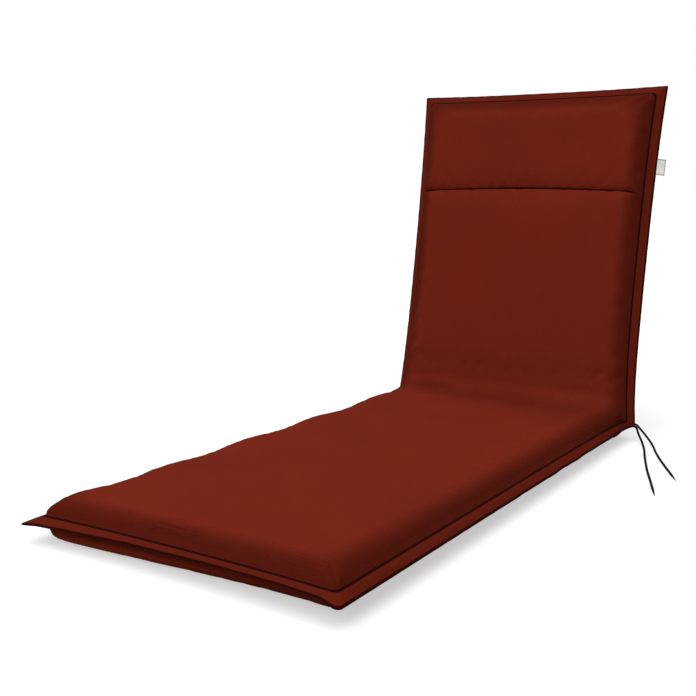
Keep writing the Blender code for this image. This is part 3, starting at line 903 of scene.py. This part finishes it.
def buildPad():
    upper, lower = faces[1].reshape(-1, 3), faces[-1].reshape(-1, 3)
    size = rowCount * columnCount
    rim = rimOf(rowCount, columnCount)
    grid = np.arange(size).reshape(rowCount, columnCount)
    inner = grid.copy()
    inner[0, :], inner[-1, :] = grid[1, :], grid[-2, :]
    inner[:, 0], inner[:, -1] = inner[:, 1], inner[:, -2]
    inner = inner.ravel()
    middle = (upper[rim] + lower[rim]) / 2
    outward = middle - (upper[inner[rim]] + lower[inner[rim]]) / 2
    outward /= np.maximum(np.linalg.norm(outward, axis=1, keepdims=True), 1e-9)
    edge = middle + outward * hem["edgeRound"]
    points = np.concatenate([upper, lower, edge])

    quads = gridQuads(rowCount, columnCount)
    count = len(rim)
    for number in range(count):
        following = (number + 1) % count
        here, there = rim[number], rim[following]
        quads.append((there, here, 2 * size + number, 2 * size + following))
        quads.append((2 * size + following, 2 * size + number, here + size, there + size))

    # weave coordinates in metres along the cloth, and places relative to edge and seam
    weaveUv, placeUv = [], []
    for side in (1, -1):
        grown = faces[side]
        stepAcross = np.linalg.norm(np.diff(grown, axis=1), axis=2)
        u = np.concatenate([np.zeros((rowCount, 1)), np.cumsum(stepAcross, axis=1)], 1)
        u -= u[:, columnCount // 2:columnCount // 2 + 1]
        centre = np.linalg.norm(np.diff(grown[:, columnCount // 2], axis=0), axis=1)
        v = np.concatenate([[0], np.cumsum(centre)])[:, None] + 0 * u
        weaveUv.append(np.stack([u, v + (0 if side > 0 else 2.5)], 2).reshape(-1, 2))
        ring = ringValue + (6 * (ringValue - 1) * (ringOf > seamRing) if side < 0 else 0)
        placeUv.append(np.stack([ring, alongAt[:, None] + 0 * ring], 2).reshape(-1, 2))
    weaveUv.append(weaveUv[0][rim])
    placeUv.append(np.stack([np.zeros(count), placeUv[0][rim][:, 1]], 1))
    piece = makePiece("filledPad", points, quads, materials["cloth"],
                      np.concatenate(weaveUv), np.concatenate(placeUv))
    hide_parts("cushion")
    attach(piece, "root")
    return piece


buildPad()
print("pad built")


# one thread stitch after another along the seam and the channel
stitch = {"length": 0.0034, "gap": 0.0009, "radius": 0.00042, "sink": 0.00015, "sides": 5}


def stitchLine(path, normals, closed):
    # places and directions of single stitches along a path
    if closed:
        path, normals = np.concatenate([path, path[:1]]), np.concatenate([normals, normals[:1]])
    reach = np.concatenate([[0], np.cumsum(np.linalg.norm(np.diff(path, axis=0), axis=1))])
    pitch = stitch["length"] + stitch["gap"]
    count = int(reach[-1] / pitch)
    at = (np.arange(count) + 0.5) * reach[-1] / count

    def on(values, where):
        return np.stack([np.interp(where, reach, values[:, axis]) for axis in range(3)], 1)

    half = stitch["length"] / 2
    return on(path, at - half), on(path, at), on(path, at + half), on(normals, at)


def buildStitches():
    runs = []
    ring = seamRing - 1
    last = rowCount - 1 - ring, columnCount - 1 - ring
    loop = [(ring, column) for column in range(ring, last[1])]
    loop += [(row, last[1]) for row in range(ring, last[0])]
    loop += [(last[0], column) for column in range(last[1], ring, -1)]
    loop += [(row, ring) for row in range(last[0], ring, -1)]
    rows, columns = np.array(loop).T
    middleRow = int(np.argmin(np.abs(alongAt - (wholeRun - channel["fromTop"]))))
    for side in (1, -1):
        normal = faceNormals(faces[side], side)
        runs.append(stitchLine(faces[side][rows, columns], normal[rows, columns], True))
        span = slice(seamRing + 3, columnCount - seamRing - 3)
        across = softened(normal, 4)[middleRow, span]
        runs.append(stitchLine(faces[side][middleRow, span], across, False))
    verts, quads, weaveUv = [], [], []
    # share of the stitch, width, height
    profile = ((0.0, 0.35, -0.9), (0.12, 0.85, -0.2), (0.5, 1.0, 0.25),
               (0.88, 0.85, -0.2), (1.0, 0.35, -0.9))
    sides = stitch["sides"]
    for start, middle, end, normal in runs:
        for number in range(len(start)):
            first, last = Vector(start[number]), Vector(end[number])
            heading = (last - first).normalized()
            upward = Vector(normal[number])
            upward = (upward - heading * upward.dot(heading)).normalized()
            sideways = heading.cross(upward)
            base = len(verts)
            lift = Vector(middle[number]) - (first + last) / 2
            for share, width, raised in profile:
                spot = first.lerp(last, share) + lift * sin(pi * share)
                spot += upward * (stitch["radius"] * raised - stitch["sink"])
                for side in range(sides):
                    angle = 2 * pi * side / sides
                    outward = sideways * cos(angle) + upward * sin(angle)
                    verts.append(spot + outward * stitch["radius"] * width)
                    weaveUv.append((share * stitch["length"] + 0.005 * number, angle * stitch["radius"]))
            for row in range(len(profile) - 1):
                for side in range(sides):
                    following = (side + 1) % sides
                    near, far = base + row * sides, base + (row + 1) * sides
                    quads.append((near + side, near + following, far + following, far + side))
            quads.append(tuple(range(base + sides - 1, base - 1, -1)))
            quads.append(tuple(range(len(verts) - sides, len(verts))))
    piece = makePiece("seamStitches", verts, quads, materials["thread"], weaveUv)
    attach(piece, "root")
    print("stitches sewn:", sum(len(run[0]) for run in runs))


buildStitches()


# bare ribbon tag, caught in the right hem of the back
tag = {
    "fromTop": 0.1580, "height": 0.0345, "width": 0.0180, "thickness": 0.0010,
    "foldThickness": 0.0019, "sag": 0.0020, "curl": 0.0018, "gap": 0.0003,
    "steps": 18, "rows": 20,
}


def buildTag():
    # a doubled ribbon that stands out from the hem, with a soft fold at its outer end
    normalDirection = Vector((0, -sin(pad["backAngle"]), cos(pad["backAngle"])))
    upDirection = Vector((0, cos(pad["backAngle"]), sin(pad["backAngle"])))
    verts, weaveUv, placeUv = [], [], []
    profile = [(step / tag["steps"], 1) for step in range(tag["steps"] + 1)]
    profile += [(step / tag["steps"], -1) for step in range(tag["steps"], -1, -1)]
    for row in range(tag["rows"] + 1):
        height = row / tag["rows"]
        distance = wholeRun - tag["fromTop"] - tag["height"] * (1 - height)
        y, z = runPoint(np.array(distance), hem["droop"], pad["hemBend"])
        edgeX = pad["width"] / 2 - float(sideBow(np.array(distance), np.array(1.0))) + tag["gap"]
        for share, face in profile:
            bulge = tag["thickness"] + (tag["foldThickness"] - tag["thickness"]) * share ** 3
            if share == 1:
                bulge *= 0.5
            wave = 0.0004 * sin(2 * pi * height * 1.3 + 0.6) * share
            lift = face * bulge / 2 - tag["curl"] * share ** 2 * (0.8 + 0.4 * height) + wave
            spot = Vector((edgeX + tag["width"] * share, float(y) + padCentre, float(z)))
            spot += normalDirection * lift - upDirection * tag["sag"] * share
            verts.append(spot)
            weaveUv.append((tag["width"] * share * face, tag["height"] * height))
            placeUv.append((share, min(height, 1 - height)))
    ring = len(profile)
    faces = []
    for row in range(tag["rows"]):
        for number in range(ring):
            following = (number + 1) % ring
            faces.append((row * ring + number, row * ring + following,
                          (row + 1) * ring + following, (row + 1) * ring + number))
    for row, flip in ((0, True), (tag["rows"], False)):
        for step in range(tag["steps"]):
            base = row * ring
            quad = (base + step, base + step + 1, base + ring - 2 - step, base + ring - 1 - step)
            faces.append(quad if flip else quad[::-1])
    piece = makePiece("sideTag", verts, faces, materials["tag"], weaveUv, placeUv)
    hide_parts("side_tag")
    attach(piece, "root")
    print("tag sewn on")


buildTag()


# floor and light
studio = {
    "floor": (0.62, 0.62, 0.62),
    "floorGlow": 0.50,
    "fill": 0.42,
    "backdrop": 1.0,
    "sun": 2.40,
    "sunFrom": (-0.12, -0.44, 1.0),
    "sunAngle": 80,
}


def buildStudio():
    mesh = bpy.data.meshes.new("floor")
    half = 30
    mesh.from_pydata([(-half, -half, -0.0004), (half, -half, -0.0004),
                      (half, half, -0.0004), (-half, half, -0.0004)], [], [(0, 1, 2, 3)])
    floor = bpy.data.objects.new("floor", mesh)
    bpy.context.collection.objects.link(floor)
    material, tree, shader = newMaterial("paleFloor")
    # the floor is lit from below, as a light table is, and shows that to the camera alone
    rays = tree.nodes.new("ShaderNodeLightPath")
    glow = maths(tree, "MULTIPLY", rays.outputs["Is Camera Ray"], studio["floorGlow"])
    tree.links.new(glow, shader.inputs["Emission Strength"])
    shader.inputs["Emission Color"].default_value = (1, 1, 1, 1)
    shader.inputs["Base Color"].default_value = (*studio["floor"], 1)
    shader.inputs["Roughness"].default_value = 0.9
    shader.inputs["Specular IOR Level"].default_value = 0.1
    mesh.materials.append(material)

    sunData = bpy.data.lights.new("softSun", "SUN")
    sunData.energy = studio["sun"]
    sunData.angle = radians(studio["sunAngle"])
    sun = bpy.data.objects.new("softSun", sunData)
    sun.rotation_euler = Vector(studio["sunFrom"]).to_track_quat("Z", "Y").to_euler()
    bpy.context.collection.objects.link(sun)

    # the backdrop shows white, while the light that it gives the pad is dimmer
    world = bpy.data.worlds.new("studioWhite")
    world.use_nodes = True
    tree = world.node_tree
    rays = tree.nodes.new("ShaderNodeLightPath")
    gap = studio["backdrop"] - studio["fill"]
    strength = maths(tree, "MULTIPLY_ADD", rays.outputs["Is Camera Ray"], gap, studio["fill"])
    tree.nodes["Background"].inputs["Color"].default_value = (1, 1, 1, 1)
    tree.links.new(strength, tree.nodes["Background"].inputs["Strength"])
    bpy.context.scene.world = world
    bpy.context.scene.view_settings.view_transform = "Standard"


buildStudio()
print("studio lit")
